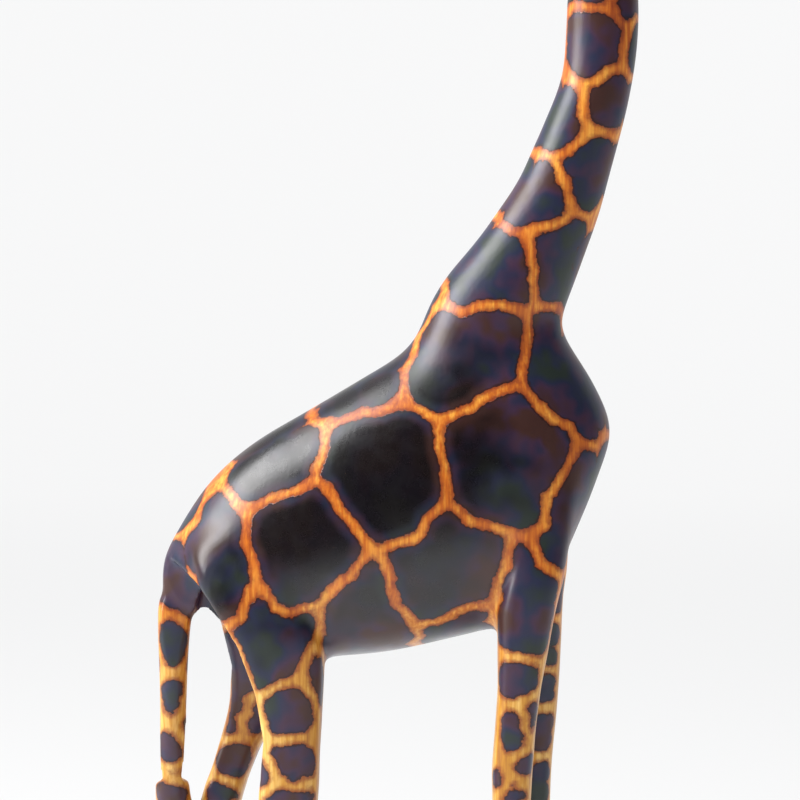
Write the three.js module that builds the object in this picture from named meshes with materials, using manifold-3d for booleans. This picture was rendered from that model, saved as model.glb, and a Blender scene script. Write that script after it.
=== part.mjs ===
// A carved wooden giraffe in mid-stride: one slim standing figure, about 35 cm tall, whose tail comes
// down to the hock of the left hind leg. Ears, horns and eyes are let into sockets in the head.
// Millimetres. +X is the way the giraffe faces, +Y is its left, +Z is up. The four soles stand on z = 0,
// and the origin is under the middle of the figure.
import * as THREE from "three";
import { mergeVertices } from "three/addons/utils/BufferGeometryUtils.js";
import Module from "manifold-3d";

const wasm = await Module();
wasm.setup();

// Driving dimensions
const GAP = 0.3; // left between two pieces that touch
const STANCE = 13; // from the midline to the middle of each sole
const FORWARD_STEP = 4.8; // how far the left foreleg stands ahead of the right one
const SOLE_CUT = 4; // how far the legs run below the ground before the soles are cut flat
const HOOF_DEPTH = 5.6; // half of a hoof, front to back
const HOOF_WIDTH = 6.2; // half of a hoof, side to side
const PEG_RADIUS = 1.2; // ear and horn pegs
const PEG_LENGTH = 3.2;
const EAR_LENGTH = 13;
const EAR_WIDTH = 3.1; // half the width of the blade
const EAR_THICKNESS = 1.2; // half its thickness
const HORN_LENGTH = 14;
const HORN_RADIUS = 1.6;
const KNOB_RADIUS = 2.2;
const EYE_RADIUS = 1.9;
const WOOD = { color: 0x2a2028, roughness: 0.35, metalness: 0 };
const BEAD = { color: 0x0a0809, roughness: 0.1, metalness: 0 };

// Where the small pieces enter the left side of the head, and the way that they point out of it.
const EAR = { seat: [38.6, 5.6, 334.6], aim: [-0.36, 0.86, 0.3] };
const HORN = { seat: [42.6, 3, 338.9], aim: [-0.1, 0.12, 1] };
const EYE = { seat: [47.6, 5.7, 331.4], aim: [0.25, 1, 0.1] };

// A form is a list of stations [x, z, half depth, half width, y] along its middle line. The half depth lies
// across that line in the side view, or straight up and down in an upright form. The half width is along Y,
// and y is out from the midline. A square of 2 makes an ellipse, and more makes it boxier. The taper widens
// the section below the middle line and narrows it above.
const TORSO = {
  around: 26,
  along: 24,
  square: 2.15,
  taper: 0.16,
  upright: true,
  stations: [
    [-65.4, 155.6, 3.4, 3.2, 0],
    [-63.0, 155.4, 7.4, 6.6, 0],
    [-56.2, 159.9, 14.2, 12.0, 0],
    [-46.2, 161.9, 22.2, 17.2, 0],
    [-36.2, 162.6, 28.2, 19.8, 0],
    [-23.8, 165.8, 32.2, 21.2, 0],
    [-11.2, 169.9, 35.6, 21.6, 0],
    [-1.2, 173.6, 37.4, 21.5, 0],
    [8.8, 176.4, 37.8, 21.0, 0],
    [18.8, 179.5, 37.8, 19.6, 0],
    [28.8, 182.7, 35.2, 17.2, 0],
    [37.5, 187.2, 22.4, 13.0, 0],
    [43.8, 189.5, 8.9, 8.0, 0],
    [46.1, 190.0, 3.4, 3.2, 0],
  ],
};
const NECK = {
  around: 20,
  along: 22,
  square: 2.1,
  taper: 0,
  stations: [
    [5.0, 186.0, 17.0, 13.0, 0],
    [11.4, 202.0, 17.8, 13.4, 0],
    [17.2, 217.5, 16.6, 12.6, 0],
    [22.9, 227.5, 14.0, 11.6, 0],
    [28.2, 237.5, 12.5, 10.6, 0],
    [33.2, 247.5, 10.8, 9.6, 0],
    [36.6, 257.5, 10.1, 8.9, 0],
    [40.2, 267.5, 9.2, 8.4, 0],
    [42.9, 277.5, 8.8, 8.0, 0],
    [44.0, 287.5, 9.0, 7.6, 0],
    [44.3, 297.5, 8.9, 7.2, 0],
    [44.0, 309.0, 8.0, 6.7, 0],
    [43.5, 320.0, 7.1, 6.3, 0],
    [42.8, 331.0, 6.6, 6.0, 0],
  ],
};
const HEAD = {
  around: 20,
  along: 18,
  square: 2.2,
  taper: -0.1,
  stations: [
    [36.2, 333.6, 2.4, 2.4, 0],
    [37.6, 333.3, 5.0, 4.8, 0],
    [41.2, 332.2, 7.4, 6.8, 0],
    [45.6, 330.9, 7.5, 7.1, 0],
    [50.4, 329.2, 6.4, 6.3, 0],
    [55.4, 327.2, 5.1, 4.9, 0],
    [60.2, 325.2, 4.3, 4.3, 0],
    [64.2, 323.4, 4.2, 4.5, 0],
    [67.1, 322.1, 2.8, 3.3, 0],
    [67.9, 321.8, 1.2, 1.6, 0],
  ],
};
// The legs run from inside the body down past the ground.
const LEG = { around: 16, along: 20, square: 3.4, taper: 0 };
const HIND_RIGHT_LEG = {
  ...LEG,
  stations: [
    [-43.0, 166.0, 17.0, 9.0, 8.5],
    [-40.6, 154.0, 16.4, 10.0, 10.0],
    [-37.8, 142.5, 13.8, 9.6, 11.2],
    [-35.0, 131.0, 10.6, 8.4, 12.2],
    [-33.6, 121.0, 8.4, 7.2, 12.8],
    [-33.2, 109.5, 7.4, 6.6, STANCE],
    [-33.6, 97.5, 7.3, 6.2, STANCE],
    [-34.9, 84.0, 6.5, 5.9, STANCE],
    [-35.8, 70.0, 5.8, 5.6, STANCE],
    [-35.6, 55.0, 4.7, 5.0, STANCE],
    [-34.0, 20.0, 4.1, 4.6, STANCE],
    [-33.4, 12.0, 4.6, 5.0, STANCE],
    [-32.4, 6.5, 4.5, 5.2, STANCE],
    [-31.6, 2.0, HOOF_DEPTH, HOOF_WIDTH, STANCE],
    [-31.2, -SOLE_CUT, HOOF_DEPTH, HOOF_WIDTH, STANCE],
  ],
};
const HIND_LEFT_LEG = {
  ...LEG,
  stations: [
    [-43.0, 166.0, 16.0, 9.0, 8.5],
    [-41.5, 154.0, 15.0, 9.8, 10.0],
    [-40.8, 142.0, 12.4, 9.4, 11.2],
    [-41.2, 131.0, 9.0, 8.2, 12.2],
    [-43.2, 120.5, 6.6, 7.0, 12.8],
    [-47.0, 110.5, 4.9, 6.2, STANCE],
    [-51.2, 99.0, 4.8, 5.9, STANCE],
    [-53.6, 87.5, 4.9, 5.8, STANCE],
    [-54.8, 76.0, 4.5, 5.4, STANCE],
    [-55.0, 60.0, 4.0, 4.9, STANCE],
    [-54.0, 21.0, 3.9, 4.6, STANCE],
    [-53.6, 12.0, 4.4, 5.0, STANCE],
    [-52.8, 6.5, 4.4, 5.2, STANCE],
    [-52.1, 2.0, HOOF_DEPTH, HOOF_WIDTH, STANCE],
    [-51.7, -SOLE_CUT, HOOF_DEPTH, HOOF_WIDTH, STANCE],
  ],
};
const FRONT_RIGHT_LEG = {
  ...LEG,
  stations: [
    [28.5, 178.0, 10.5, 8.5, 8.0],
    [27.8, 165.0, 9.5, 9.2, 9.6],
    [26.1, 152.5, 7.9, 8.8, 11.0],
    [24.7, 138.5, 6.3, 7.6, 12.2],
    [23.4, 122.5, 5.0, 6.5, STANCE],
    [22.1, 109.0, 4.9, 6.0, STANCE],
    [21.8, 97.5, 4.6, 5.7, STANCE],
    [21.4, 83.0, 4.3, 5.3, STANCE],
    [21.4, 72.0, 4.5, 5.3, STANCE],
    [21.5, 65.0, 4.7, 5.3, STANCE],
    [21.0, 54.0, 3.8, 4.8, STANCE],
    [20.7, 20.0, 3.6, 4.5, STANCE],
    [21.1, 12.0, 4.2, 4.9, STANCE],
    [21.9, 6.5, 4.2, 5.1, STANCE],
    [22.7, 2.0, HOOF_DEPTH, HOOF_WIDTH, STANCE],
    [23.1, -SOLE_CUT, HOOF_DEPTH, HOOF_WIDTH, STANCE],
  ],
};
const ELBOW = { top: 165, foot: 120 }; // between these heights the left foreleg swings forward
const FRONT_LEFT_LEG = {
  ...LEG,
  stations: FRONT_RIGHT_LEG.stations.map(([x, z, depth, width, y]) => {
    const share = 1 - THREE.MathUtils.smoothstep(z, ELBOW.foot, ELBOW.top);
    return [x + FORWARD_STEP * share, z, depth, width, y];
  }),
};
const TAIL = {
  around: 12,
  along: 18,
  square: 2.2,
  taper: 0,
  stations: [
    [-58.6, 160.0, 5.6, 5.2, 0],
    [-61.3, 152.0, 5.3, 5.0, 0],
    [-62.8, 143.0, 4.2, 4.6, 0.3],
    [-63.2, 133.0, 3.6, 4.3, 1.2],
    [-63.4, 121.0, 3.3, 4.2, 2.8],
    [-63.6, 109.0, 3.5, 4.2, 5.0],
    [-64.1, 99.0, 4.3, 4.3, 7.4],
    [-63.0, 90.0, 4.4, 4.2, 9.4],
    [-61.4, 82.0, 3.4, 3.4, 10.6],
    [-60.0, 76.5, 1.4, 1.6, 11.2],
  ],
};

// The closed surface of a form, wider by grow all round. side is 1 for the left and -1 for the right.
function loft(form, side = 1, grow = 0) {
  const middle = form.stations.map(([x, z, , , y]) => new THREE.Vector3(x, side * y, z));
  const halves = form.stations.map(([, , depth, width]) => new THREE.Vector3(depth, width, 0));
  const line = new THREE.CatmullRomCurve3(middle, false, "centripetal");
  const across = new THREE.Vector3(0, 1, 0);
  const downwards = new THREE.Vector3(0, 0, -1);
  const boxy = (value) => Math.sign(value) * Math.abs(value) ** (2 / form.square);
  const size = new THREE.CatmullRomCurve3(halves, false, "catmullrom");

  const geometry = new THREE.CylinderGeometry(1, 1, 1, form.around, form.along);
  const position = geometry.getAttribute("position");
  const point = new THREE.Vector3();
  for (let i = 0; i < position.count; i++) {
    const share = position.getY(i) + 0.5;
    const below = boxy(position.getX(i));
    const sideways = -boxy(position.getZ(i)) * (1 + form.taper * below);
    const { x: depth, y: width } = size.getPoint(share);
    const normal = form.upright ? downwards : across.clone().cross(line.getTangent(share)).normalize();
    line.getPoint(share, point);
    point.addScaledVector(normal, below * (depth + grow));
    point.addScaledVector(across, sideways * (width + grow));
    position.setXYZ(i, point.x, point.y, point.z);
  }
  return solid(geometry);
}

function solid(geometry) {
  const bare = geometry.clone();
  bare.deleteAttribute("normal");
  bare.deleteAttribute("uv");
  const merged = mergeVertices(bare, 1e-4);
  const vertProperties = merged.getAttribute("position").array;
  const triVerts = new Uint32Array(merged.index.array);
  return new wasm.Manifold(new wasm.Mesh({ numProp: 3, vertProperties, triVerts }));
}

function mesh(name, made, material = WOOD) {
  const { vertProperties, triVerts } = made.getMesh();
  const geometry = new THREE.BufferGeometry();
  geometry.setAttribute("position", new THREE.BufferAttribute(vertProperties, 3));
  geometry.setIndex(new THREE.BufferAttribute(triVerts, 1));
  geometry.computeVertexNormals();
  const object = new THREE.Mesh(geometry, new THREE.MeshStandardMaterial(material));
  object.name = name;
  return object;
}

// What is left of a form when its neighbours are cut away: the crumbs on their far side are dropped.
function fitted(made, ...neighbours) {
  const cut = neighbours.reduce((rest, neighbour) => rest.subtract(neighbour), made);
  return cut.decompose().reduce((a, b) => (b.volume() > a.volume() ? b : a));
}

// The small pieces are made standing on the origin and pointing up, wider by grow all round.
function turned(profile, around) {
  const outline = profile.map(([radius, height]) => new THREE.Vector2(radius, height));
  return solid(new THREE.LatheGeometry(outline, around).rotateX(Math.PI / 2));
}

function peg(grow) {
  const radius = PEG_RADIUS + grow;
  const foot = -PEG_LENGTH - grow;
  return turned([[0, foot], [radius, foot], [radius, 1], [0, 1]], 12);
}

function ear(grow = 0) {
  const outline = [[0, 0.45], [0.25, 0.85], [0.5, 1], [0.8, 0.6], [1, 0.15]];
  const stations = outline.map(([height, wide]) => {
    return [0, height * EAR_LENGTH, wide * EAR_WIDTH, Math.sqrt(wide) * EAR_THICKNESS, 0];
  });
  const blade = loft({ around: 12, along: 8, square: 2, taper: 0, stations }, 1, grow);
  const hollow = new THREE.SphereGeometry(1, 12, 8);
  hollow.scale(EAR_WIDTH * 0.62, EAR_THICKNESS * 0.8, EAR_LENGTH * 0.34);
  hollow.translate(0, -EAR_THICKNESS, EAR_LENGTH * 0.52);
  return blade.add(peg(grow)).subtract(solid(hollow));
}

function horn(grow = 0) {
  const knob = HORN_LENGTH - KNOB_RADIUS;
  const shaft = [[0, -grow], [1.15, -grow], [0.85, knob * 0.55], [0.9, knob - KNOB_RADIUS * 0.8]];
  const profile = shaft.map(([share, height]) => [share && share * HORN_RADIUS + grow, height]);
  const top = new THREE.Path().absarc(0, knob, KNOB_RADIUS + grow, -0.4, Math.PI / 2, false);
  const dome = top.getPoints(5).map(({ x, y }) => [Math.max(x, 0), y]);
  dome.at(-1)[0] = 0;
  return turned([...profile, ...dome], 12).add(peg(grow));
}

const eye = (grow = 0) => solid(new THREE.SphereGeometry(EYE_RADIUS + grow, 12, 8));

// The matrix that takes a small piece to its seat, with its +Z turned to its aim.
function placement({ seat, aim }, side) {
  const mirrored = ([x, y, z]) => new THREE.Vector3(x, side * y, z);
  const upwards = new THREE.Vector3(0, 0, 1);
  const turn = new THREE.Quaternion().setFromUnitVectors(upwards, mirrored(aim).normalize());
  return new THREE.Matrix4().compose(mirrored(seat), turn, new THREE.Vector3(1, 1, 1));
}

const giraffe = new THREE.Group();
giraffe.name = "carved_giraffe";

let head = loft(HEAD);
const pairs = [
  ["ear", ear, EAR, WOOD],
  ["horn", horn, HORN, WOOD],
  ["eye", eye, EYE, BEAD],
];
for (const [kind, make, place, material] of pairs) {
  for (const [word, side] of [["right", -1], ["left", 1]]) {
    const matrix = placement(place, side);
    head = head.subtract(make(GAP).transform(matrix.elements));
    const piece = mesh(`${word}_${kind}`, make(), material);
    piece.applyMatrix4(matrix);
    giraffe.add(piece);
  }
}
giraffe.add(mesh("head", head));

const torsoRoom = loft(TORSO, 1, GAP);
const headRoom = loft(HEAD, 1, GAP);
giraffe.add(mesh("torso", loft(TORSO)));
giraffe.add(mesh("neck", fitted(loft(NECK), torsoRoom, headRoom)));

const ground = solid(new THREE.BoxGeometry(400, 200, 40).translate(0, 0, -20));
const legs = [
  ["front_right_leg", FRONT_RIGHT_LEG, -1],
  ["front_left_leg", FRONT_LEFT_LEG, 1],
  ["hind_right_leg", HIND_RIGHT_LEG, -1],
  ["hind_left_leg", HIND_LEFT_LEG, 1],
];
for (const [name, form, side] of legs) {
  giraffe.add(mesh(name, fitted(loft(form, side), torsoRoom, ground)));
}
giraffe.add(mesh("tail", fitted(loft(TAIL), torsoRoom, loft(HIND_LEFT_LEG, 1, GAP))));

export default giraffe;
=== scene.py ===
"""A carved wooden giraffe: one polished figure with burnt patches, and its pegged ears, horns and eyes.

The CAD solids of the carving are melted into one continuous skin, worked over like clay and meshed
finely. The burnt patches are groups of discs on that skin, listed one by one, with rows of random ones
on the faces of the limbs that are left over.
"""

import math

import bmesh
import bpy
import numpy as np
import openvdb as vdb
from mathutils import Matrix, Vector


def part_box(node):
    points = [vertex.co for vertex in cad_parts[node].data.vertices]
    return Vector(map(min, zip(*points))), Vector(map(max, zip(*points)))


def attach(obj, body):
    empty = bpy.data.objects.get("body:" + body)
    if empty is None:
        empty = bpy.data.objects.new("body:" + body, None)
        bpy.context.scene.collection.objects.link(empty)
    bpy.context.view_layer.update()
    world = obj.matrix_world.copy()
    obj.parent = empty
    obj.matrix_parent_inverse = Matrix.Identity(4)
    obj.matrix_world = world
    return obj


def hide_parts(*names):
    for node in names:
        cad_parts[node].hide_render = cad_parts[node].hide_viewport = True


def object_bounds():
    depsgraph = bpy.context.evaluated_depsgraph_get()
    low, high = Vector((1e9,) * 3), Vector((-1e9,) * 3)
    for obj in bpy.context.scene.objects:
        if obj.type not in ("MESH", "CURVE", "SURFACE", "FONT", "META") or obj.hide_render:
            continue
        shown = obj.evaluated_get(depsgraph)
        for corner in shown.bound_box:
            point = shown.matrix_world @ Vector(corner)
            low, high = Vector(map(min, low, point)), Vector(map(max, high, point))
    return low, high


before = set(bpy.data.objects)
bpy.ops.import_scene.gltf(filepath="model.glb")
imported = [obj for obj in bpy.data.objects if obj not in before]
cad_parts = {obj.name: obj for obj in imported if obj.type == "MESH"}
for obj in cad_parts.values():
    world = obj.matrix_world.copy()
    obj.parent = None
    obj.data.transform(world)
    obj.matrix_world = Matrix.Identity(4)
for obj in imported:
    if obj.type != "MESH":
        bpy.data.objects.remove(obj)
CAD_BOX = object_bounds()

MM = 0.001
CELL = 0.7  # mm, the size of the clay's cells and of the skin's faces
FINE_CELL = 0.25  # mm, for the small pieces
REACH = 14.0  # mm, how far out from a solid its distance is worked out
SEAM = 0.2  # mm, closes the gaps that the CAD leaves between neighbours
RIGHT, LEFT = -1, 1
EYE = (47.6, 5.7, 331.4)  # mm, the middle of the left eye
EAR_ROOT, EAR_LENGTH = 5.6, 11.6  # mm, outward from the midline

CARVING = ["torso", "neck", "head", "tail"]
LEGS = ["front_right_leg", "front_left_leg", "hind_right_leg", "hind_left_leg"]
PEGGED = ["left_ear", "right_ear", "left_horn", "right_horn"]

# ---------------------------------------------------------------- clay: a grid of distances to the surface


class Clay:
    """A box of cells. A solid is an array of distances to its surface in mm, below zero inside it."""

    def __init__(self, corners, cell, margin=6):
        low, high = (np.array(corner) / MM for corner in corners)
        self.cell = cell
        self.first = np.floor((low - margin) / cell).astype(int)
        self.shape = tuple(np.ceil((high + margin) / cell).astype(int) - self.first)
        axes = [((np.arange(n) + f) * cell).astype(np.float32) for n, f in zip(self.shape, self.first)]
        self.x, self.y, self.z = axes[0][:, None, None], axes[1][None, :, None], axes[2][None, None, :]

    def solid(self, node):
        """A CAD node's solid."""
        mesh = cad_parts[node].data
        mesh.calc_loop_triangles()
        grid = vdb.FloatGrid.createLevelSetFromPolygons(
            numbers(mesh.vertices, "co", 3) / MM,
            triangles=numbers(mesh.loop_triangles, "vertices", 3, np.int32).astype(np.uint32),
            transform=vdb.createLinearTransform(voxelSize=self.cell),
            halfWidth=REACH / self.cell,
        )
        values = np.zeros(self.shape, np.float32)
        grid.copyToArray(values, ijk=tuple(int(n) for n in self.first))
        return values

    def blurred(self, values, spread):
        """A Gaussian blur, spread mm wide along x, y and z."""
        for axis, sigma in enumerate(spread):
            reach = int(math.ceil(2.7 * sigma / self.cell))
            weights = np.exp(-0.5 * (np.arange(-reach, reach + 1) * self.cell / sigma) ** 2)
            weights = (weights / weights.sum()).astype(np.float32)
            padding = [(reach, reach) if a == axis else (0, 0) for a in range(3)]
            padded = np.pad(values, padding, mode="edge")
            total = np.zeros_like(values)
            for offset, weight in enumerate(weights):
                window = [slice(None)] * 3
                window[axis] = slice(offset, offset + values.shape[axis])
                total += weight * padded[tuple(window)]
            values = total
        return values

    def unevenness(self, size, seed):
        """Gentle random hills, about size mm across and 1 high, as a knife leaves them."""
        cells = [max(4, int(math.ceil(count * self.cell / size)) + 1) for count in self.shape]
        values = np.random.default_rng(seed).normal(size=cells).astype(np.float32)
        for axis in range(3):
            place = np.linspace(0, cells[axis] - 1.001, self.shape[axis])
            index = place.astype(int)
            along = [1, 1, 1]
            along[axis] = -1
            share = (place - index).astype(np.float32).reshape(along)
            share = share * share * (3 - 2 * share)
            values = mixed(np.take(values, index, axis), np.take(values, index + 1, axis), share)
        return values

    def sample(self, values, points):
        """What an array holds at points in mm, between its cells too."""
        place = np.clip(points / self.cell - self.first, 0, np.array(self.shape) - 1.001)
        corner = place.astype(int)
        share = place - corner
        total = np.zeros(len(points))
        for step in np.ndindex(2, 2, 2):
            weight = np.prod(np.where(step, share, 1 - share), axis=1)
            total += weight * values[tuple((corner + step).T)]
        return total

    def skin(self, values, rounds):
        """The points and quads of a solid's surface."""
        grid = vdb.FloatGrid()
        grid.copyFromArray(values, ijk=tuple(int(n) for n in self.first))
        grid.transform = vdb.createLinearTransform(voxelSize=self.cell)
        points, quads = grid.convertToQuads(isovalue=0.0)
        quads = quads[:, ::-1].astype(np.int64)
        return relaxed(points.astype(np.float64), quads, rounds), quads


def numbers(items, name, width, kind=np.float32):
    values = np.zeros(len(items) * width, kind)
    items.foreach_get(name, values)
    return values.reshape(-1, width)


def ramp(values, start, end):
    """Smoothly from 0 at start to 1 at end."""
    share = np.clip((values - start) / (end - start), 0, 1)
    return share * share * (3 - 2 * share)


def bell(values, middle, width):
    """1 at the middle, fading out over the width on both sides."""
    return np.exp(-(((values - middle) / width) ** 2))


def mixed(a, b, share):
    return a + (b - a) * share


def relaxed(points, quads, rounds):
    """Evens out a skin without shrinking it."""
    edges = np.concatenate([quads[:, [corner, (corner + 1) % 4]] for corner in range(4)])
    edges = np.unique(np.sort(edges, 1), axis=0)
    ends = np.concatenate([edges, edges[:, ::-1]])
    count = np.bincount(ends[:, 0], minlength=len(points)).reshape(-1, 1)
    for turn in range(rounds):
        pull = 0.5 if turn % 2 == 0 else -0.52
        total = [np.bincount(ends[:, 0], points[ends[:, 1], axis], len(points)) for axis in range(3)]
        points = points + pull * (np.stack(total, 1) / count - points)
    return points


# ---------------------------------------------------------------- the carving's shape

# The arris along the back of each hind leg: (x, z) from the rump down.
ARRIS = {
    RIGHT: [(-60.3, 158.6), (-52.6, 147.8), (-45.7, 137.2), (-41.4, 125.3), (-39.5, 113.4), (-40.2, 106)],
    LEFT: [(-60.3, 158.6), (-54.5, 147.8), (-51.6, 141), (-49.0, 130), (-50.4, 119), (-51.9, 111.5),
           (-54.6, 102.5)],
}
# Soft creases where the legs leave the body: depth, width and (x, z) points.
CREASES = [
    (0.55, 2.0, [(22.0, 163), (20.2, 156), (18.6, 149)]),
    (0.5, 1.8, [(-23, 152), (-24.5, 144), (-24.8, 140)]),
]
STANCE = 13  # mm from the midline to the middle of a foot
FOOT_LEVEL = 3.5  # mm, the feet run straight down below it
HOOF_TOP = 8.5  # mm
SOLE_LEVEL = 2.0  # mm, where a hoof's outline is read off
CLEFT_DEPTH, CLEFT_WIDTH = 1.6, 0.8  # mm
GLUE_BEAD = 0.4  # mm, the glue round a pegged piece
GLUE_REACH = 1.6  # mm, how far out from the head that glue goes


def arris_at(side, heights):
    """The x of a hind leg's arris at those heights."""
    line = sorted(ARRIS[side], key=lambda point: point[1])
    return np.interp(heights, [z for _, z in line], [x for x, _ in line])


def shaved(clay, values, side):
    """Takes a flat off the back of a hind leg, beside the tail and up to the arris."""
    edge = arris_at(side, clay.z)
    beside_tail = np.maximum(ramp(clay.y * side, 3.0, 6.0), ramp(clay.x, -58.0, -54.5))
    here = beside_tail * ramp(clay.y * side, -0.5, 1.5) * ramp(clay.z, 100, 106)
    fading = 7 * ramp(clay.z, 149, 168)
    return mixed(values, np.maximum(values, edge - clay.x - fading), here)


def creased(clay, values, side, depth, width, line):
    """Presses a soft groove into one flank."""
    away = np.full((clay.shape[0], 1, clay.shape[2]), 1e3, np.float32)
    for (xa, za), (xb, zb) in zip(line, line[1:]):
        length = (xb - xa) ** 2 + (zb - za) ** 2
        share = np.clip(((clay.x - xa) * (xb - xa) + (clay.z - za) * (zb - za)) / length, 0, 1)
        step_x, step_z = clay.x - xa - share * (xb - xa), clay.z - za - share * (zb - za)
        away = np.minimum(away, np.hypot(step_x, step_z))
    return values + depth * bell(away, 0, width) * ramp(clay.y * side, 3, 8)


def hoofed(clay, values, leg):
    """Cuts the cleft in the front of a hoof, and the small step above it."""
    low, high = (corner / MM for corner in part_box(leg))
    middle = STANCE if high.y > -low.y else -STANCE
    along, across = clay.x.ravel(), clay.y.ravel()
    sole = values[:, :, int(np.argmin(abs(clay.z.ravel() - SOLE_LEVEL)))] < 0
    sole = (sole & (abs(across - middle) < 8)).any(1)
    front = along[sole & (along > low.x) & (along < high.x)].max()
    cleft = CLEFT_DEPTH * bell(clay.y, middle, CLEFT_WIDTH) * ramp(clay.x, front - 3.6, front - 1.6)
    cleft = cleft * ramp(-clay.z, -HOOF_TOP - 1, -HOOF_TOP + 2) * (abs(clay.x - front) < 5)
    step = 0.3 * bell(clay.z, HOOF_TOP, 0.9)
    near = (abs(clay.x - front + 5) < 9) & (abs(clay.y - middle) < 9)
    return values + cleft + step * near


def carving_solid(clay, solids):
    """The whole carving: its solids joined and softened, more so on the body, and then worked over."""
    whole = np.minimum.reduce(list(solids.values())) - SEAM
    for node in PEGGED:
        glued = np.maximum(clay.solid(node) - GLUE_BEAD, solids["head"] - GLUE_REACH)
        whole = np.minimum(whole, glued)
    foot = int(np.argmin(abs(clay.z.ravel() - FOOT_LEVEL)))
    whole[:, :, :foot] = whole[:, :, foot : foot + 1]

    legs = clay.blurred(whole, (0.8, 0.8, 1.8))
    neck = clay.blurred(whole, (1.8, 1.6, 2.2))
    body = clay.blurred(whole, (3.0, 2.4, 3.0)) - 0.15
    join = clay.blurred(whole, (4.2, 3.4, 4.4)) - 0.35
    head = clay.blurred(whole, (0.7, 0.7, 0.7))
    below_neck = 1 - ramp(clay.z, 226, 246)
    trunk = np.maximum(1 - ramp(solids["torso"], 0.5, 6), ramp(clay.z, 150, 162) * below_neck)
    made = mixed(legs, neck, ramp(clay.z, 195, 215))
    made = mixed(made, body, trunk)
    made = mixed(made, join, ramp(clay.z, 192, 208) * below_neck)
    made = mixed(made, head, ramp(clay.z, 316, 324) * ramp(clay.x, 30, 36))
    for side in (RIGHT, LEFT):
        made = shaved(clay, made, side)
        for crease in CREASES:
            made = creased(clay, made, side, *crease)
    for leg in LEGS:
        made = hoofed(clay, made, leg)
    made -= 0.08 * clay.unevenness(9, seed=3)
    return np.maximum(made, -clay.z)


def nearest_part(clay, points, solids):
    """The name of the solid that each point is nearest to."""
    names = np.array(list(solids))
    away = [clay.sample(solid, points) for solid in solids.values()]
    return names[np.argmin(away, axis=0)]


# ---------------------------------------------------------------- meshes


# The lines of the head, in mm: x is how far forward, z how high.
HEAD_BOTTOM = 316
MOUTH = [(54, 323.0), (58, 322.4), (63, 320.8), (68.5, 319.9)]  # (x, z) from its corner to the lips
MOUTH_CORNER = 55.5  # x
NOSTRIL = (65.3, 3.0, 324.3)
UNDRAWN = -9


def add_mesh(name, points, quads):
    mesh = bpy.data.meshes.new(name)
    mesh.from_pydata((points * MM).tolist(), [], quads.tolist())
    mesh.validate()
    mesh.shade_smooth()
    piece = bpy.data.objects.new(name, mesh)
    bpy.context.collection.objects.link(piece)
    return piece


def refine_head(piece):
    """Gives the head finer faces than the rest."""
    for _ in range(2):
        made = bmesh.new()
        made.from_mesh(piece.data)
        edges = [edge for edge in made.edges if all(in_head(vert.co / MM) for vert in edge.verts)]
        bmesh.ops.subdivide_edges(made, edges=edges, cuts=1, use_grid_fill=True)
        for _ in range(3):
            verts = [vert for vert in made.verts if in_head(vert.co / MM)]
            axes = {f"use_axis_{axis}": True for axis in "xyz"}
            bmesh.ops.smooth_vert(made, verts=verts, factor=0.3, **axes)
        made.to_mesh(piece.data)
        made.free()
    piece.data.shade_smooth()


def in_head(point):
    """Whether a point in mm lies in front of the slanting line between head and neck."""
    return point.z > 317.5 and point.x - point.z > -294


def engrave(piece):
    """Cuts the mouth, nostrils and eyelids into the head, and models its brow and cheek.

    Returns the vertices in mm, and how far each is inside a line that is drawn dark.
    """
    points = numbers(piece.data.vertices, "co", 3).astype(np.float64) / MM
    normals = numbers(piece.data.vertices, "normal", 3)
    x, y, z = points.T
    side = abs(y)
    of_head = z >= HEAD_BOTTOM
    mouth_line = np.interp(x, *zip(*MOUTH))
    mouth = ramp(x, MOUTH_CORNER - 1, MOUTH_CORNER + 1) * bell(z, mouth_line, 0.42)
    nostril = bell(x, NOSTRIL[0], 0.9) * bell(z + 0.5 * (x - NOSTRIL[0]), NOSTRIL[2], 0.5)
    nostril = nostril * bell(side, NOSTRIL[1], 1.6)
    away = np.sqrt((x - EYE[0]) ** 2 + (side - EYE[1]) ** 2 + (z - EYE[2]) ** 2)
    lid = bell(away, 2.75, 0.55)
    brow = bell(x, EYE[0], 3.2) * bell(z, EYE[2] + 3, 1.3) * ramp(side, 3, 5)
    cheek = bell(x, EYE[0] + 2.9, 3.0) * bell(z, EYE[2] - 5, 1.8) * ramp(side, 2, 4)
    shift = 0.45 * lid + 0.7 * brow - 0.4 * mouth - 0.5 * nostril - 0.35 * cheek
    points += normals * np.where(of_head, shift, 0)[:, None]
    piece.data.vertices.foreach_set("co", (points * MM).astype(np.float32).ravel())
    piece.data.update()
    drawn = np.where(x > MOUTH_CORNER, 0.75 - 1.9 * abs(z - mouth_line), UNDRAWN)
    drawn = np.maximum(drawn, 1.6 * (nostril - 0.35))
    drawn = np.maximum(drawn, 0.8 - abs(away - 2.5))
    return points, np.where(of_head, drawn, UNDRAWN)


def set_attribute(piece, name, values):
    attribute = piece.data.attributes.new(name, "FLOAT", "POINT")
    attribute.data.foreach_set("value", values.astype(np.float32))


# ---------------------------------------------------------------- the burnt patches

LINE = 1.3  # mm, half the width of a bare line
OVERHANG = 2.0  # mm, how far a patch may reach past its discs
ROUNDING = 0.6  # mm, rounds a patch's corners
WORN = 1.1  # mm, how far the wear along an arris reaches
WORN_BOTTOM, WORN_TOP = 112, 141  # mm, where that wear ends and starts

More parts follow.
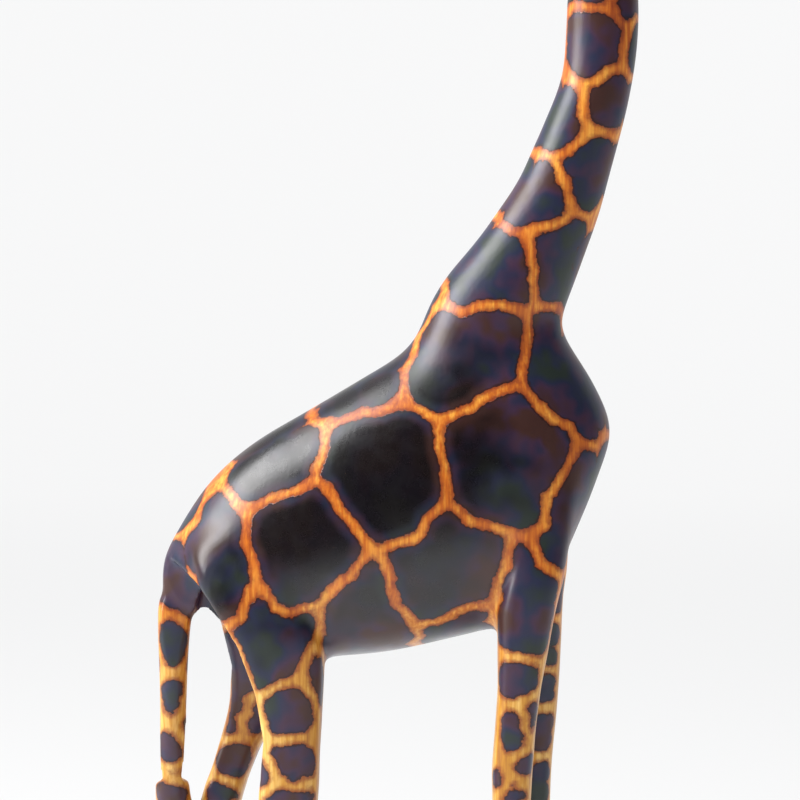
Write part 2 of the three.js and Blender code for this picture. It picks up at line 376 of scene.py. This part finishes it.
# Each patch is a group of discs (x, z, radius) in mm. These are on both flanks.
FLANKS = {
    "poll": [(38.8, 327.5, 2.2)],
    "cheek": [(44.4, 325.6, 1.6), (46.6, 325.2, 1.0)],
    "jaw": [(52.6, 323.6, 0.6)],
    "face": [(55.6, 328.0, 0.5), (53.6, 329.4, 0.5)],
    "neck_l": [(45.4, 319.0, 3.4)],
    "neck_k": [(40.0, 315.0, 4.4)],
    "neck_j": [(47.2, 309.8, 4.8)],
    "nape_top": [(41.5, 301.8, 5.5)],
    "neck_a": [(39.8, 288, 6.6), (43.5, 288.5, 5.4), (43.6, 285.6, 4.6), (40.8, 281.5, 3.6)],
    "neck_b": [(50.6, 297.8, 3.2), (50.2, 294, 1.6)],
    "neck_d": [(44.4, 271.0, 4.6), (46.4, 268.2, 4.0), (47.2, 274.6, 3.8)],
    "neck_e": [(33.6, 265.0, 5.0), (35.4, 271.6, 3.6)],
    "neck_f": [(41.4, 257.0, 5.4), (41.4, 250.6, 4.4), (37.0, 256.6, 3.2), (44.5, 260.5, 3.0)],
    "neck_g": [(28.6, 248.0, 5.8), (24.0, 245.6, 4.0), (29.8, 254.0, 2.8)],
    "neck_h": [(33.0, 234.4, 5.4), (37.4, 238.6, 2.6), (33.4, 227.0, 4.6)],
    "withers": [(18.8, 230.6, 6.6), (12.6, 229.6, 6.0), (23.2, 226.4, 3.4), (16.5, 236.0, 3.6),
                (21.8, 234.0, 3.8), (9.4, 225.2, 2.4)],
    "shoulder": [(5.7, 204.4, 8.2), (14.3, 209.6, 9.6), (20.1, 214.4, 4.8), (4.4, 213.0, 6.0)],
    "throat": [(31.4, 216.0, 3.4), (31.8, 211.0, 4.6), (32.6, 204.8, 6.2), (37.6, 199.4, 5.6),
               (41.2, 191.8, 2.2), (43.6, 194.8, 2.2)],
    "back": [(-12.0, 202.4, 4.6), (-20.0, 198.6, 3.8), (-25.0, 196.4, 2.0), (-27.6, 197.0, 1.6)],
    "ribs": [(-9.4, 180.0, 13.4), (-15.4, 184.6, 9.0), (-5.8, 186.4, 8.2), (-2.6, 181.6, 7.2),
             (-8.6, 172.4, 8.4)],
    "breast": [(20.6, 183.0, 13.6), (14.2, 186.4, 8.4), (27.0, 183.6, 9.6), (20.8, 195.8, 5.2),
               (32.2, 185.6, 5.8), (27.0, 173.0, 5.0)],
    "chest": [(39.4, 179.6, 4.8), (37.2, 175.4, 5.2), (35.6, 171.0, 5.2), (33.6, 162.0, 4.2),
              (38.2, 170.0, 4.8), (36.6, 165.0, 4.0)],
    "rump": [(-51.8, 164.6, 6.0), (-50.0, 157.0, 6.4), (-48.4, 150.4, 4.6), (-52.0, 171.0, 3.0),
             (-56.6, 161.5, 4.8), (-62.5, 156.0, 4.0), (-62.8, 150.0, 3.2), (-58.2, 150.7, 2.6)],
    "croup": [(-35.6, 183.6, 6.8), (-42.6, 180.8, 5.8), (-30.4, 185.8, 4.0), (-30.0, 188.4, 2.8)],
    "loin": [(-29.8, 162.4, 11.8), (-27.0, 170.4, 5.2), (-35.4, 164.6, 7.2), (-31.2, 153.6, 5.8),
             (-22.0, 161.0, 6.2), (-32.5, 151.5, 5.0)],
    "girth": [(4.8, 155.4, 9.0), (10.8, 158.0, 7.6), (0.6, 151.6, 6.6), (5.6, 165.2, 4.2),
              (-3.5, 158.0, 4.5), (14.5, 160.0, 5.0), (2.5, 147.6, 5.2), (9.5, 150.6, 5.4)],
    "belly": [(-15.0, 146.6, 7.2), (-12.2, 154.6, 3.6), (-19.6, 142.0, 5.2), (-9.4, 141.4, 5.0),
              (-8.4, 137.0, 3.4), (-4.8, 137.6, 1.8), (-15.0, 136.4, 4.0), (-21.5, 136.8, 3.4)],
    "girdle": [(12.0, 144.0, 2.4), (6.0, 141.0, 2.0), (3.0, 140.4, 1.4)],
    "thigh": [(-37.6, 138.0, 6.8), (-41.0, 147.4, 2.6), (-43.6, 141.6, 2.6), (-28.0, 143.2, 3.2),
              (-37.5, 132.0, 3.2), (-40.8, 133.8, 2.0), (-39.2, 129.2, 1.6)],
}
# These are on the midline. A patch that is on the flanks too reaches over from one to the other.
MIDLINE = {
    "crown": [(46.5, 338.2, 1.0)],
    "forehead": [(52.5, 334.2, 0.9)],
    "bridge": [(58.0, 330.0, 0.5)],
    "muzzle": [(67.6, 323.2, 2.8), (67.2, 320.8, 2.0)],
    "chin": [(60.0, 320.4, 0.6)],
    "nape": [(37.0, 324.0, 2.4)],
    "neck_i": [(35.8, 313.0, 4.0)],
    "neck_m": [(50.6, 318.6, 3.0)],
    "neck_n": [(52.6, 306.8, 3.2)],
    "nape_top": [(36.5, 302, 5)],
    "neck_b": [(54.0, 298, 3.4)],
    "neck_c": [(53.0, 285.0, 5.6)],
    "neck_d": [(52.0, 272, 4)],
    "neck_e": [(28.5, 266, 5), (31.5, 272, 4)],
    "neck_f": [(46.0, 255, 5)],
    "neck_g": [(21.5, 248.5, 4.4), (25.2, 253.5, 4.4)],
    "neck_h": [(40.2, 233, 5), (37.2, 226, 4.6)],
    "withers": [(9.5, 233, 6), (14.5, 239, 4)],
    "throat": [(38.0, 207, 6), (43.0, 200, 5), (45.5, 195.8, 4.4)],
    "nape_low": [(0.0, 219.0, 2.4), (2.6, 223.5, 2.4)],
    "back": [(-10, 207, 7), (-22, 200, 6)],
    "croup": [(-40, 188, 8), (-33, 190.5, 7)],
    "tail_head": [(-59, 170, 5)],
    "rump": [(-64, 157, 4), (-62, 149, 3), (-57, 147, 4.5), (-52.5, 143, 4)],
    "chest": [(43.5, 180.5, 6.5), (41.5, 174, 8), (38, 168, 7), (36, 162, 6)],
    "belly": [(-14, 134, 9), (-6, 135, 7), (-20, 134, 9), (-25, 135, 7)],
    "girdle": [(12, 141, 9), (5.5, 138, 9.5)],
}
# These are on one face of a limb: the limb, the face and the discs of each patch.
LIMBS = [
    ("hind_right_leg", RIGHT, [
        [(-24.8, 132.5, 2.0), (-24.4, 128, 1.6), (-24.2, 124.5, 0.8)],
        [(-33.0, 121.2, 4.0), (-31.2, 121.0, 3.8), (-34.2, 117.8, 2.2)],
        [(-32.3, 108.5, 3.4), (-30.2, 107.3, 3.0), (-33.8, 106.5, 2.2), (-31.0, 104.6, 1.6)],
        [(-34.0, 97.6, 4.0), (-31.5, 97.6, 3.6)],
        [(-40.2, 105.5, 2.0)],
    ]),
    ("hind_left_leg", RIGHT, [
        [(-49.6, 136.5, 2.4), (-48.4, 131, 2.2), (-47.2, 125, 2.4), (-48.4, 120, 1.8), (-49.6, 115.6, 1.4)],
        [(-43.2, 118.5, 1.2), (-43.2, 115.0, 1.2)],
        [(-49.2, 105.6, 2.6), (-47.4, 107.4, 1.8)],
        [(-52.2, 95.6, 2.6)],
    ]),
    ("front_right_leg", RIGHT, [
        [(24.4, 159.5, 2.6), (25.4, 152.0, 5.4), (27.9, 149.3, 3.6), (24.4, 143.5, 5.6),
         (20.2, 142.6, 2.8), (26.5, 140.5, 4.4), (29.2, 146.0, 3.0)],
        [(22.2, 129.3, 3.4), (23.8, 129.8, 2.6)],
        [(22.4, 118.2, 1.4), (22.4, 115.4, 1.6), (22.0, 112.6, 0.8)],
        [(27.9, 121.0, 0.8), (27.7, 119.0, 0.7), (27.5, 117.4, 0.5)],
        [(25.8, 107.8, 1.4), (25.0, 106.4, 0.8)],
        [(18.3, 103.5, 1.4)],
        [(21.9, 102.6, 0.5), (21.9, 99.5, 1.8)],
    ]),
    ("front_left_leg", RIGHT, [
        [(34.6, 151.0, 1.2), (34.0, 146.0, 1.0)],
        [(32.4, 137.5, 1.2), (32.2, 132.5, 0.6)],
        [(30.9, 125.6, 0.8), (30.6, 123.0, 0.8)],
        [(30.2, 115.6, 1.2), (29.9, 111.4, 1.2)],
        [(29.4, 102.8, 1.0), (28.8, 97.5, 1.6)],
    ]),
    ("front_left_leg", LEFT, [
        [(26.0, 157.0, 3.4), (26.6, 150.0, 4.8), (24.8, 142.4, 4.4), (29.4, 145.0, 3.0)],
        [(25.6, 129.6, 3.6), (28.6, 131.6, 2.6)],
    ]),
    ("hind_left_leg", LEFT, [
        [(-44.8, 129.6, 3.4), (-41.6, 127.8, 3.0)],
    ]),
    ("tail", RIGHT, [
        [(-62.9, 137.4, 2.5), (-62.4, 134.0, 1.9)],
        [(-63.2, 123.0, 1.8), (-63.0, 120.5, 1.4)],
        [(-64.2, 110.2, 1.6), (-64.4, 108.0, 1.2)],
        [(-64.6, 97.0, 3.0)],
    ]),
]
# Elsewhere on the limbs the patches go round in rows, each row turned against the one above:
# limb, top of the rows, lowest patch on the right face, lowest row.
ROWS = [
    ("hind_right_leg", 128, 92, 12),
    ("hind_left_leg", 117, 90, 12),
    ("front_right_leg", 140, 94, 12),
    ("front_left_leg", 119, 92, 12),
    ("tail", 142, 92, 90),
]
ROW_PITCH = 9.5  # mm
WIDEST_SPOT = 11  # mm


def face_point(points, x, z, side):
    """The outermost point on that side, level with x and z."""
    away = np.hypot(points[:, 0] - x, points[:, 2] - z)
    near = points[away < max(1.0, away.min() + 0.3)]
    return near[np.argmax(near[:, 1] * side)]


def patch_discs(skin, part_of):
    """All discs as rows of x, y, z and radius, and the name of the patch that each belongs to."""
    rng = np.random.default_rng(11)
    discs, owners = [], []

    def add(patch, point, radius):
        discs.append([*point, radius])
        owners.append(patch)

    for name, group in FLANKS.items():
        for x, z, radius in group:
            add(name, face_point(skin, x, z, RIGHT), radius)
            dx, dz = rng.normal(0, 0.8, 2)
            other = name if name in MIDLINE else name + "_left"
            add(other, face_point(skin, x + dx, z + dz, LEFT), radius)
    for name, group in MIDLINE.items():
        for x, z, radius in group:
            add(name, (x, 0, z), radius)
    for limb, side, groups in LIMBS:
        points = skin[part_of == limb]
        for number, group in enumerate(groups):
            for x, z, radius in group:
                add(f"{limb}_{number}", face_point(points, x, z, side), radius)
    for limb, top, clear, bottom in ROWS:
        points = skin[part_of == limb]
        for row in range(int((top - bottom) / ROW_PITCH) + 1):
            turn = 90 if row % 2 == 0 else -90
            for spot in range(3):
                height = top - row * ROW_PITCH + rng.normal(0, 0.8)
                angle = math.radians(turn + spot * 120 + rng.normal(0, 8))
                way = np.array([math.cos(angle), math.sin(angle)])
                if height > clear and way[1] < 0.4:
                    continue
                level = points[abs(points[:, 2] - height) < 1]
                if len(level) == 0:
                    continue
                middle = level.mean(0)
                point = level[np.argmax((level - middle)[:, :2] @ way)]
                width = min(level[:, 0].max() - level[:, 0].min(), WIDEST_SPOT)
                add(f"{limb}_row_{row}_{spot}", point, rng.uniform(0.42, 0.54) * width - OVERHANG)
    return np.array(discs), owners


def patch_depth(skin, part_of):
    """How far in mm each point is inside its dark patch, below zero on the bare lines."""
    discs, owners = patch_discs(skin, part_of)
    names = sorted(set(owners))
    reach = np.full((len(skin), len(names)), 1e3)
    for disc, owner in zip(discs, owners):
        column = names.index(owner)
        away = np.linalg.norm(skin - disc[:3], axis=1) - disc[3]
        reach[:, column] = np.minimum(reach[:, column], away)
    every = np.arange(len(skin))
    own = np.argmin(reach, axis=1)
    first = reach[every, own]
    reach[every, own] = 1e3
    second = first - ROUNDING * np.log(np.exp((first[:, None] - reach) / ROUNDING).sum(1) + 1e-30)
    depth = np.minimum((second - first) / 2 - LINE, OVERHANG - first)
    # The arris of each hind leg is worn bare.
    x, y, z = skin.T
    for side in (RIGHT, LEFT):
        worn = (y * side > 8) & (z > WORN_BOTTOM) & (z < WORN_TOP) & (part_of != "tail")
        depth = np.where(worn, np.minimum(depth, x - arris_at(side, z) - WORN), depth)
    above_hoof = z - HOOF_TOP
    return np.where(above_hoof > 0, np.minimum(depth, above_hoof - 2 * LINE), -above_hoof)


# ---------------------------------------------------------------- materials


class Paint:
    """Short names for wiring up one material."""

    def __init__(self, name):
        self.material = bpy.data.materials.new(name)
        self.material.use_nodes = True
        self.tree = self.material.node_tree
        self.shader = self.tree.nodes["Principled BSDF"]

    def node(self, kind, **settings):
        made = self.tree.nodes.new("ShaderNode" + kind)
        for key, value in settings.items():
            setattr(made, key, value)
        return made

    def feed(self, socket, value):
        if isinstance(value, (int, float)):
            socket.default_value = value
        elif isinstance(value, tuple):
            socket.default_value = (*value, 1) if len(socket.default_value) == 4 else value
        else:
            self.tree.links.new(value, socket)

    def attribute(self, name):
        return self.node("Attribute", attribute_name=name).outputs["Fac"]

    def place(self):
        return self.node("TexCoord").outputs["Object"]

    def noise(self, scale, stretch=(1, 1, 1), detail=3.0, roughness=0.55):
        mapping = self.node("Mapping")
        self.feed(mapping.inputs["Scale"], stretch)
        self.feed(mapping.inputs["Vector"], self.place())
        made = self.node("TexNoise")
        self.feed(made.inputs["Vector"], mapping.outputs["Vector"])
        for key, value in (("Scale", scale), ("Detail", detail), ("Roughness", roughness)):
            self.feed(made.inputs[key], value)
        return made.outputs["Fac"]

    def maths(self, operation, *values):
        made = self.node("Math", operation=operation)
        for socket, value in zip(made.inputs, values):
            self.feed(socket, value)
        return made.outputs[0]

    def ramped(self, value, start, end, low=0.0, high=1.0):
        """Smoothly from low where the value is start to high where it is end."""
        made = self.node("MapRange", interpolation_type="SMOOTHSTEP")
        keys = ("Value", "From Min", "From Max", "To Min", "To Max")
        for key, given in zip(keys, (value, start, end, low, high)):
            self.feed(made.inputs[key], given)
        return made.outputs["Result"]

    def colours(self, value, stops):
        made = self.node("ValToRGB")
        elements = made.color_ramp.elements
        while len(elements) < len(stops):
            elements.new(0.5)
        for element, (position, colour) in zip(elements, stops):
            element.position = position
            element.color = (*colour, 1)
        self.feed(made.inputs["Fac"], value)
        return made.outputs["Color"]

    def blend(self, share, a, b):
        made = self.node("Mix", data_type="RGBA")
        for socket, value in zip((made.inputs[0], made.inputs[6], made.inputs[7]), (share, a, b)):
            self.feed(socket, value)
        return made.outputs[2]

    def bump(self, height, distance, strength=1.0):
        made = self.node("Bump")
        for key, value in (("Height", height), ("Distance", distance), ("Strength", strength)):
            self.feed(made.inputs[key], value)
        self.feed(self.shader.inputs["Normal"], made.outputs["Normal"])

    def finish(self, **values):
        names = {"colour": "Base Color", "roughness": "Roughness", "specular": "Specular IOR Level",
                 "coat": "Coat Weight", "coat_roughness": "Coat Roughness"}
        for key, value in values.items():
            self.feed(self.shader.inputs[names[key]], value)
        return self.material


PAINTED_SHADE_MIDDLE = (-0.018, 0.0, 0.175)  # m, the middle of the painted shade on the body, where the char is painted blackest
SCORCHED = (0.16, 0.022, 0.003)  # the brown of wood beside the char
HOLLOW_SHADE = (0.16, 0.03, 0.006)  # painted shade: the brown that bare wood is darkened to in hollows and creases
RIM = (0.020, 0.003, 0.0015)  # the dark red at the edge of the char


def bare_wood(paint, grain):
    """Waxed pale hardwood: orange on the body, yellower down the legs."""
    figure = paint.noise(1.0, (110, 110, 22), detail=2)
    tone = paint.maths("MULTIPLY_ADD", grain, 0.55, paint.maths("MULTIPLY", figure, 0.45))
    body = paint.colours(tone, [
        (0.32, (0.20, 0.026, 0.001)), (0.48, (0.40, 0.095, 0.003)), (0.66, (0.62, 0.275, 0.032)),
    ])
    legs = paint.colours(tone, [
        (0.32, (0.22, 0.062, 0.004)), (0.48, (0.40, 0.178, 0.016)), (0.66, (0.57, 0.355, 0.095)),
    ])
    height = paint.node("SeparateXYZ")
    paint.feed(height.inputs[0], paint.place())
    return paint.blend(paint.ramped(height.outputs["Z"], 0.155, 0.125), body, legs)


def blackness_with_painted_shade(paint, depth):
    """How black the char is painted: blackest round the ribs and loin, a painted shade, and lighter away
    from them, a painted sheen; and less black at a patch's rim.
    """
    across = paint.node("VectorMath", operation="MULTIPLY")
    paint.feed(across.inputs[0], paint.place())
    paint.feed(across.inputs[1], (1.0, 0.0, 1.0))
    away = paint.node("VectorMath", operation="DISTANCE")
    paint.feed(away.inputs[0], across.outputs["Vector"])
    paint.feed(away.inputs[1], PAINTED_SHADE_MIDDLE)
    wander = paint.maths("MULTIPLY_ADD", paint.noise(50, detail=2), 0.080, -0.040)
    # Painted shade: the char gets blacker toward the ribs and loin.
    near = paint.ramped(paint.maths("ADD", away.outputs["Value"], wander), 0.050, 0.022)
    return paint.maths("MULTIPLY", near, paint.ramped(depth, 0.6, 3.0, 0.4, 0.95))


def charred_wood(paint, black):
    """Burnt wood, with brown, blue and violet in it."""
    dye = paint.colours(paint.noise(90, detail=2), [
        (0.36, (0.036, 0.011, 0.008)), (0.45, (0.032, 0.012, 0.032)),
        (0.54, (0.009, 0.012, 0.036)), (0.66, (0.012, 0.019, 0.015)),
    ])
    return paint.blend(black, dye, (0.0030, 0.0018, 0.0022))


def burnt_wood():
    """The carving: bare wood, and char where the attribute depth is above zero, with a ragged edge."""
    paint = Paint("burnt_wood")
    depth = paint.attribute("depth")
    ragged = paint.maths("MULTIPLY_ADD", paint.noise(900, detail=3, roughness=0.6), 1.3, -0.65)
    wander = paint.maths("MULTIPLY_ADD", paint.noise(220, detail=1), 1.4, -0.7)
    edge = paint.maths("ADD", depth, paint.maths("ADD", ragged, wander))
    dark = paint.ramped(edge, -0.05, 0.12)
    scorch = paint.ramped(edge, -1.2, 0.0)
    hollow_shade = paint.ramped(paint.attribute("hollow_shade"), 0.25, 0.9)

    grain = paint.noise(1.0, (1000, 1000, 70), detail=4)
    bare = bare_wood(paint, grain)
    # Painted shade: bare wood is darkened to brown in hollows and creases.
    bare = paint.blend(paint.maths("MULTIPLY", hollow_shade, 0.75), bare, HOLLOW_SHADE)
    bare = paint.blend(paint.maths("MULTIPLY", scorch, 0.85), bare, SCORCHED)
    # How black the char is painted, with painted shade round the ribs and loin.
    black = blackness_with_painted_shade(paint, depth)
    char = paint.blend(paint.ramped(edge, 0.05, 0.7), RIM, charred_wood(paint, black))

    # The polish is glossiest where the char is painted blackest.
    waxed = paint.maths("MULTIPLY_ADD", black, -0.12, 0.31)
    polish = paint.maths("MULTIPLY_ADD", paint.noise(260, detail=3), 0.16, waxed)
    relief = paint.maths("MULTIPLY_ADD", grain, 0.35, paint.maths("MULTIPLY", dark, -0.5))
    paint.bump(relief, 0.00012, 0.5)
    return paint.finish(colour=paint.blend(dark, bare, char), roughness=polish, specular=0.42)


def small_wood(name, along, tip):
    """The pegged pieces: bare wood, scorched dark beyond the share called tip of the attribute along."""
    paint = Paint(name)
    grain = paint.noise(1.0, (1400, 1400, 260), detail=4)
    ragged = paint.maths("MULTIPLY_ADD", paint.noise(900, detail=3), 0.16, -0.08)
    edge = paint.maths("ADD", paint.attribute(along), ragged)
    bare = bare_wood(paint, grain)
    bare = paint.blend(paint.ramped(edge, tip - 0.2, tip), bare, (0.12, 0.016, 0.003))
    paint.bump(grain, 0.00006, 0.5)
    colour = paint.blend(paint.ramped(edge, tip - 0.02, tip + 0.03), bare, charred_wood(paint, 0.0))
    roughness = paint.maths("MULTIPLY_ADD", grain, 0.2, 0.25)
    return paint.finish(colour=colour, roughness=roughness, specular=0.4)


def eye_bead():
    """A glossy black bead."""
    paint = Paint("eye_bead")
    cloud = paint.noise(700, detail=2)
    colour = paint.colours(cloud, [(0.35, (0.004, 0.003, 0.003)), (0.65, (0.016, 0.009, 0.006))])
    roughness = paint.maths("MULTIPLY_ADD", paint.noise(1500, detail=2), 0.06, 0.04)
    return paint.finish(colour=colour, roughness=roughness, coat=0.6, coat_roughness=0.03)


# ---------------------------------------------------------------- camera, light and stage

VIEW_AZIMUTH = 2.0
VIEW_ELEVATION = 2.0
VIEW_DISTANCE = 1.2
VIEW_FIELD = 0.2  # m, the width of what is seen at the object
SENSOR = 36.0
VIEW_CENTRE = Vector((-0.00625, 0, 0.1975))

SWEEP_FLAT = 3.2  # m, how far out the floor is flat
SWEEP_BEND = 1.6  # m, the radius of the bend between floor and wall
SWEEP_TOP = 3.0  # m
SWEEP_STEPS = 12
SWEEP_SIDES = 96
CARD_EDGE = (0.35, 0.75)  # m from the middle, where the card gives way to the glowing cloth, a painted backlight


def add_camera():
    data = bpy.data.cameras.new("camera")
    data.sensor_width = SENSOR
    data.lens = SENSOR * VIEW_DISTANCE / VIEW_FIELD
    data.clip_start = 0.05
    data.clip_end = 30
    camera = bpy.data.objects.new("camera", data)
    azimuth = math.radians(VIEW_AZIMUTH)
    elevation = math.radians(VIEW_ELEVATION)
    across = math.cos(elevation)
    back = Vector((math.sin(azimuth) * across, -math.cos(azimuth) * across, math.sin(elevation)))
    camera.location = VIEW_CENTRE + back * VIEW_DISTANCE
    camera.rotation_euler = (-back).to_track_quat("-Z", "Y").to_euler()
    bpy.context.collection.objects.link(camera)
    bpy.context.scene.camera = camera


def add_softbox(name, place, target, size, power, colour=(1, 1, 1)):
    data = bpy.data.lights.new(name, "AREA")
    data.shape = "RECTANGLE"
    data.size, data.size_y = size
    data.energy = power
    data.color = colour
    light = bpy.data.objects.new(name, data)
    light.location = place
    light.rotation_euler = (Vector(target) - Vector(place)).to_track_quat("-Z", "Y").to_euler()
    bpy.context.collection.objects.link(light)


def add_lights():
    add_softbox("key", (-1.37, -0.38, 1.08), (0, 0, 0.2), (0.95, 1.55), 73)
    add_softbox("top", (-0.2, 0.3, 2.3), (0, 0, 0.2), (1.8, 1.4), 9)


def add_dark_screen():
    """A dark screen round the camera's side that only reflections see, so that the polish stays deep."""
    radius, low, high, turn, steps = 1.9, 0.02, 2.6, math.radians(105), 24
    verts = []
    for step in range(steps + 1):
        angle = turn * (2 * step / steps - 1) - math.pi / 2
        verts += [(radius * math.cos(angle), radius * math.sin(angle), height) for height in (low, high)]
    faces = [(2 * step, 2 * step + 2, 2 * step + 3, 2 * step + 1) for step in range(steps)]
    cloth = Paint("screen_cloth").finish(colour=(0.01, 0.01, 0.012), roughness=1, specular=0)
    screen = add_staged("dark_screen", verts, faces, cloth)
    screen.visible_camera = False
    screen.visible_diffuse = False
    screen.visible_shadow = False


def add_sweep():
    """A round white floor that curves up into a wall on every side."""
    profile = [(SWEEP_FLAT * share, 0) for share in (0.1, 0.4, 0.8)]
    for step in range(SWEEP_STEPS + 1):
        angle = math.pi / 2 * step / SWEEP_STEPS
        profile.append((SWEEP_FLAT + SWEEP_BEND * math.sin(angle), SWEEP_BEND * (1 - math.cos(angle))))
    profile.append((SWEEP_FLAT + SWEEP_BEND, SWEEP_TOP))
    verts = [(0, 0, 0)]
    for radius, height in profile:
        for side in range(SWEEP_SIDES):
            angle = 2 * math.pi * side / SWEEP_SIDES
            verts.append((radius * math.cos(angle), radius * math.sin(angle), height))
    faces = []
    for side in range(SWEEP_SIDES):
        after = (side + 1) % SWEEP_SIDES
        faces.append((0, 1 + side, 1 + after))
        for ring in range(len(profile) - 1):
            low, high = 1 + ring * SWEEP_SIDES, 1 + (ring + 1) * SWEEP_SIDES
            faces.append((low + side, high + side, high + after, low + after))
    sweep = add_staged("sweep", verts, faces, sweep_paint())
    sweep.data.shade_smooth()


def sweep_paint():
    """Plain white card round the object, which shows its shadow, and further out cloth that glows as a
    painted backlight, brighter toward the back.
    """
    paint = Paint("sweep_paint")
    out = paint.node("VectorMath", operation="LENGTH")
    paint.feed(out.inputs[0], paint.place())
    split = paint.node("SeparateXYZ")
    paint.feed(split.inputs[0], paint.place())
    white = paint.ramped(out.outputs["Value"], *CARD_EDGE, 0.8, 0.2)
    # Painted backlight: the cloth glows, weakly near the object and more further out and toward the back.
    glow = paint.ramped(out.outputs["Value"], *CARD_EDGE, 0.3, 1.0)
    glow_toward_back = paint.ramped(split.outputs["Y"], 0.5, 4.6, 0.62, 0.75)
    paint.feed(paint.shader.inputs["Emission Color"], (1.0, 1.0, 1.0))
    paint.feed(paint.shader.inputs["Emission Strength"], paint.maths("MULTIPLY", glow, glow_toward_back))
    return paint.finish(colour=white, roughness=0.9, specular=0.1)


def add_staged(name, verts, faces, material):
    mesh = bpy.data.meshes.new(name)
    mesh.from_pydata(verts, [], faces)
    mesh.materials.append(material)
    piece = bpy.data.objects.new(name, mesh)
    bpy.context.collection.objects.link(piece)
    return piece


def add_world():
    world = bpy.data.worlds.new("tent")
    bpy.context.scene.world = world
    world.use_nodes = True
    background = world.node_tree.nodes["Background"]
    background.inputs["Color"].default_value = (0.95, 0.97, 1, 1)
    background.inputs["Strength"].default_value = 0.8


# ---------------------------------------------------------------- putting it together


def build_carving(material):
    clay = Clay(CAD_BOX, CELL)
    solids = {node: clay.solid(node) for node in CARVING + LEGS}
    made = carving_solid(clay, solids)
    piece = add_mesh("carved_figure", *clay.skin(made, rounds=10))
    refine_head(piece)
    points, drawn = engrave(piece)
    depth = patch_depth(points, nearest_part(clay, points, solids))
    # How far each point is sunk below its blurred surroundings: the mask of the painted shade in hollows.
    hollow_shade = clay.sample(made, points) - clay.sample(clay.blurred(made, (2.4, 2.4, 2.4)), points)
    set_attribute(piece, "depth", np.maximum(depth, drawn))
    set_attribute(piece, "hollow_shade", hollow_shade)
    piece.data.materials.append(material)
    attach(piece, "root")
    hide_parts(*CARVING, *LEGS)


def build_small_piece(node, material, spread):
    clay = Clay(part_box(node), FINE_CELL, margin=2)
    made = clay.blurred(clay.solid(node), (spread, spread, spread))
    piece = add_mesh(f"carved_{node}", *clay.skin(made, rounds=6))
    points = numbers(piece.data.vertices, "co", 3) / MM
    low, high = (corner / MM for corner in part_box(node))
    set_attribute(piece, "height", (points[:, 2] - low.z) / (high.z - low.z))
    set_attribute(piece, "outward", (abs(points[:, 1]) - EAR_ROOT) / EAR_LENGTH)
    piece.data.materials.append(material)
    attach(piece, "root")
    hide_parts(node)


add_camera()
add_world()
add_sweep()
add_dark_screen()
add_lights()
build_carving(burnt_wood())
horn_wood = small_wood("horn_wood", "height", 0.72)
ear_wood = small_wood("ear_wood", "outward", 0.8)
bead = eye_bead()
for word in ("left", "right"):
    build_small_piece(f"{word}_horn", horn_wood, 0.3)
    build_small_piece(f"{word}_ear", ear_wood, 0.3)
    build_small_piece(f"{word}_eye", bead, 0.2)

bpy.context.scene.view_settings.view_transform = "Standard"
